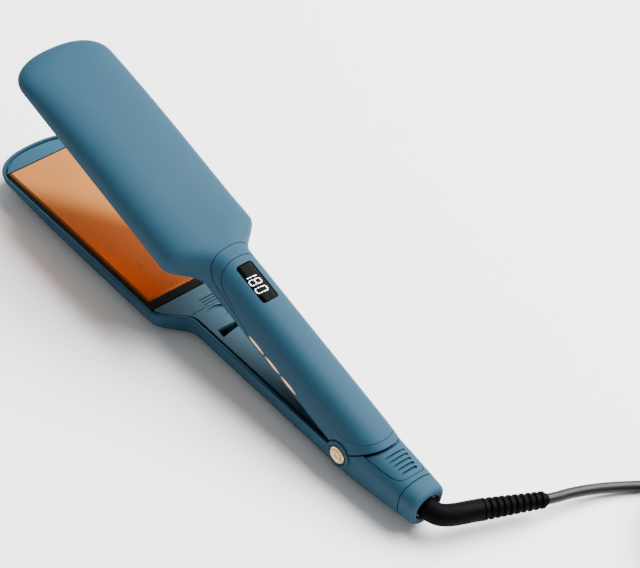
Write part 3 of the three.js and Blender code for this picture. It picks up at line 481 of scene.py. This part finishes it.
def round_rect(x0, x1, y, r, g=0.0, n=8):
    pts = []
    for cx, cy, a0 in ((x1 - r, y - r, 0), (x0 + r, y - r, 90), (x0 + r, -y + r, 180), (x1 - r, -y + r, 270)):
        for k in range(n + 1):
            a = math.radians(a0 + 90 * k / n); pts.append((cx + (r + g) * math.cos(a), cy + (r + g) * math.sin(a)))
    return pts
cut(lid, prism(round_rect(WX0, WX1, WY, 1.5, 0.22), 6, 40, UPPER))
def surf_up(x, y):
    a, T, n = half_width(x), depth_up(x), n_exp(x)
    return T * max(0.0, 1 - (abs(y) / a) ** n) ** (1 / n)
# window: a lens that follows the cover, with a rounded edge
rows = [(0.0, -2.2), (0.0, -0.30), (0.12, -0.16), (0.35, -0.10), (1.2, -0.08)]
out = round_rect(WX0, WX1, WY, 1.5)
cx, cy = (WX0 + WX1) / 2, 0
def inset(p, d):
    q = Vector((p[0] - cx, p[1] - cy)); sx = max(0.0, abs(q.x) - d) / max(abs(q.x), 1e-6); sy = max(0.0, abs(q.y) - d) / max(abs(q.y), 1e-6)
    return (cx + q.x * sx, cy + q.y * sy)
rings = []
for d, dz in rows: rings.append([(*inset(p, d), surf_up(*inset(p, d)) + dz) for p in out])
for s in (0.7, 0.45, 0.2, 0.03): rings.append([(cx + (inset(p, 1.2)[0] - cx) * s, inset(p, 1.2)[1] * s, surf_up(cx + (inset(p, 1.2)[0] - cx) * s, inset(p, 1.2)[1] * s) - 0.08) for p in out])
v, f = loft(rings)
win = make("readout_window", v, f, UPPER, "upper_arm", [WINDOW], 50); fix_normals(win); shade(win, 50)
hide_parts("display_window")
# lit seven-segment digits, reading from the head toward the hinge
LIT = bpy.data.materials.new("lit_segments"); LIT.use_nodes = True
pn = LIT.node_tree.nodes["Principled BSDF"]; pn.inputs["Base Color"].default_value = (0.9, 0.93, 0.95, 1); pn.inputs["Emission Color"].default_value = (0.9, 0.96, 1, 1)
pn.inputs["Emission Strength"].default_value = 1.0; pn.inputs["Roughness"].default_value = 0.5
SEG = {'0': 'abcdef', '1': 'bc', '8': 'abcdefg'}
def seg_poly(name, w, h, t):
    hw, hh = w / 2, h / 2; g = 0.2
    def bar(x0, y0, x1, y1):
        d = Vector((x1 - x0, y1 - y0)); L = d.length; d.normalize(); n = Vector((-d.y, d.x)) * t / 2; a = Vector((x0, y0)) + d * g; b = Vector((x1, y1)) - d * g
        return [a, a + d * t / 2 + n, b - d * t / 2 + n, b, b - d * t / 2 - n, a + d * t / 2 - n]
    return {'a': bar(-hw, hh, hw, hh), 'b': bar(hw, hh, hw, 0), 'c': bar(hw, 0, hw, -hh), 'd': bar(-hw, -hh, hw, -hh), 'e': bar(-hw, 0, -hw, -hh), 'f': bar(-hw, hh, -hw, 0), 'g': bar(-hw, 0, hw, 0)}[name]
DW, DH, DT = 2.7, 5.9, 0.42
v, f = [], []
for ch, at in (('1', 90.0), ('8', 85.7), ('0', 81.0)):
    for s in SEG[ch]:
        poly = seg_poly(s, DW, DH, DT)
        top, bot = [], []
        for q in poly:
            rx, ry = q.x + 0.10 * q.y, q.y               # leaning a little
            x, y = at - rx, 0.9 - ry                          # digit's right is toward the hinge, its top toward -Y
            z = surf_up(x, y) - 0.08
            top.append((x, y, z + 0.035)); bot.append((x, y, z - 0.02))
        b = len(v); n = len(top); v += bot + top
        f.append(tuple(range(b + n, b + 2 * n))); f.append(tuple(reversed(range(b, b + n))))
        f += [(b + i, b + (i + 1) % n, b + n + (i + 1) % n, b + n + i) for i in range(n)]
digits = make("readout_digits", v, f, UPPER, "upper_arm", [LIT]); fix_normals(digits)

# side buttons: long lens-shaped keys on the band's lower edge
BTN = [("button_minus", 33.4, 44.4), ("button_plus", 45.6, 56.6), ("button_power", 57.6, 69.0)]
def lens(x0, x1, zc, h, g, n=14):
    pts = []
    L = (x1 - x0) / 2 + g; c = (x0 + x1) / 2
    for k in range(2 * n):
        a = math.pi * k / n
        pts.append((c + L * math.copysign(abs(math.cos(a)) ** 0.9, math.cos(a)), zc + (h / 2 + g) * math.copysign(abs(math.sin(a)) ** 1.15, math.sin(a))))
    return pts
def side_y(x, z):
    a, T, n = half_width(x), depth_up(x), n_exp(x)
    return a * max(0.0, 1 - (abs(z) / T) ** n) ** (1 / n)
ZB, HB = 2.45, 1.7
for name, x0, x1 in BTN:
    o = lens(x0, x1, ZB, HB, 0.16)
    vv = [(x, 9, z) for x, z in o] + [(x, 16, z) for x, z in o]; n = len(o)
    ff = [tuple(range(n)), tuple(reversed(range(n, 2 * n)))] + [(i, n + i, n + (i + 1) % n, (i + 1) % n) for i in range(n)]
    cut(band, temp(vv, ff, UPPER))
    rings = []
    for s, dy in ((1.0, -2.0), (1.0, 0.0), (0.93, 0.16), (0.7, 0.27), (0.4, 0.33), (0.05, 0.35)):
        o2 = lens(x0, x1, ZB, HB, 0.0)
        c = ((x0 + x1) / 2, ZB)
        rings.append([(c[0] + (x - c[0]) * (s if s > 0.9 else 0.9 + 0.1 * s) * (1 if s > 0.1 else 0.9), side_y(x, z) + dy - 0.05, c[1] + (z - c[1]) * s) for x, z in o2])
    b = make(name + "_key", *loft(rings), UPPER, None, [GOLD], 60); fix_normals(b); shade(b, 60)
    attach(b, {"button_minus": "minus_button", "button_plus": "plus_button", "button_power": "power_button"}[name]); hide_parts(name)
for o, nm in ((band, "upper_handle_band"), (lid, "upper_handle_cover")):
    fix_normals(o); o.data.materials.clear(); o.data.materials.append(BLUE); shade(o, 38)
    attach(o, "upper_arm"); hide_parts(nm)

# ------------------------------------------------------------------ lower arm
v, f = head_shell(COLLAR_X, depth_down, -1)
low = make("lower_arm_skin", v, f, ROOT, None, [BLUE])
for p in low.data.vertices:
    q = LOWER @ (p.co / MM); q.z = max(q.z, 0.0); p.co = q * MM
fix_normals(low)
for s in (1, -1):
    for y0, y1, r in ((10.9, 12.9, 6.9),):
        a, b = (y0, y1) if s > 0 else (-y1, -y0)
        ear = cyl_y(0, HZ, r, a, b, LOWER, 96)
        cut(low, ear, 'UNION')
    cut(low, cyl_y(0, HZ, 2.3, *( (5, 20) if s > 0 else (-20, -5)), LOWER, 48))
shade(low, 38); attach(low, "lower_arm"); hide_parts("lower_shell")
for s in (1, -1):
    prof = [(5.35, 12.3), (5.35, 12.95), (5.38, 13.55), (5.5, 13.75), (5.65, 13.82), (6.6, 13.82), (6.95, 13.72), (7.15, 13.45), (7.2, 13.1), (7.2, 11.0), (6.9, 10.9), (2.4, 10.9), (2.4, 12.3)]
    v, f = lathe(prof, (0, 0, HZ), (0, s, 0), 96, True)
    boss = make("hinge_boss_left" if s > 0 else "hinge_boss_right", v, f, LOWER, "lower_arm", [BLUE], 40); fix_normals(boss); shade(boss, 40)
    prof = [(0.0, 14.10), (1.2, 14.12), (1.55, 14.05), (1.7, 13.92), (2.9, 13.92), (3.1, 14.02), (3.3, 14.16), (4.0, 14.17), (4.35, 14.08), (4.52, 13.85), (4.55, 13.2), (0.0, 13.2)]
    v, f = lathe(prof, (0, 0, HZ), (0, s, 0), 96)
    cap = make("hinge_cap_disc_left" if s > 0 else "hinge_cap_disc_right", v, f, LOWER, "lower_arm", [GOLD], 40); fix_normals(cap); shade(cap, 40)
    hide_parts("hinge_cap_left" if s > 0 else "hinge_cap_right")

# ------------------------------------------------------------------ tail
def tail_n(x): return 2.45
def tail_wall(x0, x1, wall=2.0, grow=0.0, rim=-0.46, lip=0.04):
    return wall_loft(frange(x0, x1, 1.0), half_width, tail_up, 1, wall, lip, rim, 64, grow, tail_n)
def saddle(g):
    near = [(-14, 10.2), (-23, 9.3), (-29, 8.4), (-32.4, 7.2), (-34.1, 5.0), (-34.6, 2.0)]
    far = [(-34.6, -4.4), (-34.0, -6.6), (-32.0, -7.9), (-29, -8.5), (-23, -9.3), (-14, -10.2)]
    line = catmull([(x, y, 0) for x, y in near], 0.7) + catmull([(x, y, 0) for x, y in far], 0.5)
    pts = [Vector((p.x, p.y)) for p in line]; out = [(10, 10.2 + g)]
    for i, p in enumerate(pts):
        t = (pts[min(i + 1, len(pts) - 1)] - pts[max(i - 1, 0)]).normalized(); q = p + Vector((t.y, -t.x)) * g
        out.append((q.x, q.y))
    return out + [(10, -10.2 - g)]
housing = temp(*tail_wall(COLLAR_X, -6.5), LOWER)
cut(housing, cyl_y(0, HZ, 7.65, -40, 40, LOWER, 160)); cut(housing, beyond_rear(0.5, -0.6))
cut(housing, prism(saddle(0.34), 4.0, 30, LOWER))
housing.name = "tail_housing_skin"
pad = temp(*wall_loft(frange(COLLAR_X, -8, 0.8), half_width, tail_up, 1, 1.8, 0.3, 0.1, 64, -0.02, tail_n), LOWER)
cut(pad, prism(saddle(0.0), 4.0, 30, LOWER), 'INTERSECT')
cut(pad, beyond_rear(0, -3.0)); cut(pad, cyl_y(0, HZ, 13.5, -40, 40, LOWER, 160))
def groove(k):
    x = -21.7 - 2.52 * k
    y0, y1 = -6.5 + 0.45 * k, 5.8 - 0.38 * k
    w = 0.72; pts = []
    for c, q in ((y1 - w, 0), (y0 + w, 180)):
        for j in range(9):
            a = math.radians(q + 180 * j / 8); pts.append((x + w * math.cos(a), c + w * math.sin(a)))
    return prism(pts, tail_up(x) - 1.35, 30, LOWER)
for k in range(5): cut(pad, groove(k))
pad.name = "lock_pad"
for o, nm, bd in ((housing, "tail_housing", "lower_arm"), (pad, "lock_slider", "lock")):
    fix_normals(o); o.data.materials.clear(); o.data.materials.append(BLUE); shade(o, 38)
    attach(o, bd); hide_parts(nm)
# collar: full round section with a rolled mouth
def sec(x, g, n=96):
    up, dn, hw = tail_up(x), depth_down(x), half_width(x); r = []
    for k in range(n):
        a = 2 * math.pi * k / n; c, s = math.cos(a), math.sin(a)
        r.append((x, (hw + g) * math.copysign(abs(c) ** (2 / 2.45), c), math.copysign(1, s) * ((up if s > 0 else dn) + g) * abs(s) ** (2 / 2.45)))
    return r
def circ(x, r, n=96, zc=AXIS_Z): return [(x, r * math.cos(2 * math.pi * k / n), zc + r * math.sin(2 * math.pi * k / n)) for k in range(n)]
def mix(a, b, t): return [tuple(Vector(p) * (1 - t) + Vector(q) * t) for p, q in zip(a, b)]
E = COLLAR_X - 0.34
rings = [sec(E, -2.2), sec(E, -0.25), sec(E - 0.25, 0.0)] + [sec(x, 0.0) for x in frange(E - 1.2, -44.2, 1.1)]
for b in range(1, 7):
    a = math.radians(15 * b); rings.append(sec(-44.2 - 2.2 * math.sin(a), -2.2 * (1 - math.cos(a)) * 0.8))
last = rings[-1]
for x, t in ((-46.45, 0.35), (-46.2, 0.7), (-45.6, 0.95), (-44.6, 1.0)):
    rings.append(mix([(x, p[1], p[2]) for p in last], circ(x, 6.75), t))
rings += [circ(-42, 6.75), circ(-38.4, 6.75), [(-38.4, p[1], p[2]) for p in sec(-38.4, -2.2)]]
v, f = loft(rings + [rings[0]], True, False)
collar = make("tail_collar_skin", v, f, LOWER, "lower_arm", [BLUE], 45); fix_normals(collar); shade(collar, 45)
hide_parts("tail_collar")

# ------------------------------------------------------------------ boot
ELBOW = [(-45.2, 0, AXIS_Z), (-48.6, 0, AXIS_Z), (-52.6, -1.9, -3.5), (-56.0, -7.2, -3.8), (-60.0, -17.6, -4.5), (-66.5, -34.0, -5.9), (-73.0, -50.7, -7.5)]
bp = catmull(ELBOW, 0.35)
acc = [0.0]
for i in range(1, len(bp)): acc.append(acc[-1] + (bp[i] - bp[i - 1]).length)
LB = acc[-1]; R0 = LB - 33.0
def boot_r(i):
    s = acc[i]
    if s < R0 - 1.0: return 5.2
    t = clamp01((s - R0) / (LB - R0)); base = 5.25 - 1.25 * t
    if s < R0: return 5.2
    ph = ((s - R0) / 3.3) % 1.0
    e = min(smooth(0.0, 0.10, ph), 1 - smooth(0.52, 0.62, ph))
    r = (base - 1.0) + 1.0 * e
    if LB - s < 0.8: r = min(r, base - 0.35 - 0.3 * (0.8 - (LB - s)))
    return r
v, f = loft(tube(bp, boot_r, 48))
boot = make("elbow_boot", v, f, LOWER, "cord_swivel", [RUBBER], 50); fix_normals(boot); shade(boot, 50)
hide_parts("cord_boot")

# ------------------------------------------------------------------ CAD pieces that stay
LOOK = {"body_blue": BLUE, "inner_blue": INNER, "black_plastic": BLACKP, "copper_plate": COPPER, "ceramic": CERAM, "silicone": SILI, "gold_trim": GOLD,
        "circuit_board": PCBM, "window_black": WINDOW, "nickel": NICKEL, "steel": STEEL, "strap": STRAP, "cord_black": CORDM, "boot_rubber": RUBBER, "plug_black": PLUGM}
plate_tip = max(c[0] for c in NODES["lower_heater_plate"].bound_box)
# painted highlight: the plate's base colour turns paler toward its tip, standing in for the lamp's reflection there,
# with the edge slanting back toward the hinge on the far side
blend(COPPER, (0.64, 0.24, 0.058), plate_tip - 0.068, plate_tip - 0.034, -1.5)
FRAME = mat("plate_frame", (0.0012, 0.0012, 0.0014), rough=0.5, bump=0.12, scale=1800, spec=0.06, dist=0.0001)
blend(FRAME, (0.020, 0.064, 0.098), plate_tip + 0.0003, plate_tip + 0.0006, 0.0)
for sp in frame["record"]["subparts"]:
    ob = NODES[sp["node"]]
    m = OXIDE if "cover_screw" in sp["node"] else FRAME if "plate_bezel" in sp["node"] else LOOK[sp["material_slot"]]
    if ob.material_slots:
        for s in ob.material_slots: s.material = m

# ------------------------------------------------------------------ stage and light
me = bpy.data.meshes.new("floor")
me.from_pydata([(-6, -6, 0), (6, -6, 0), (6, 6, 0), (-6, 6, 0)], [], [(0, 1, 2, 3)])
floor = bpy.data.objects.new("floor", me); bpy.context.scene.collection.objects.link(floor)
FL = mat("floor_white", (0.93, 0.93, 0.93), rough=0.9, bump=0.0, col_var=0.004, spec=0.2); me.materials.append(FL)
W = bpy.data.worlds.new("studio"); bpy.context.scene.world = W; W.use_nodes = True
W.node_tree.nodes["Background"].inputs["Color"].default_value = (1, 1, 1, 1)
W.node_tree.nodes["Background"].inputs["Strength"].default_value = 0.42
def area(name, loc, target, size, power, size_y=None):
    l = bpy.data.lights.new(name, 'AREA'); l.shape = 'RECTANGLE'; l.size = size; l.size_y = size_y or size; l.energy = power
    o = bpy.data.objects.new(name, l); bpy.context.scene.collection.objects.link(o)
    o.location = loc; d = Vector(target) - Vector(loc); o.rotation_euler = d.to_track_quat('-Z', 'Y').to_euler()
    return o
# one large overhead panel a little behind and to the right of the iron, and a weaker strip low on the left
area("top_soft", (-0.30, -1.40, 1.80), (-0.05, 0.0, 0), 2.3, 340, 2.0)
area("back_soft", (1.00, -0.75, 0.95), (0.05, 0.0, 0.02), 0.9, 2.5, 0.9)

bpy.context.view_layer.update()
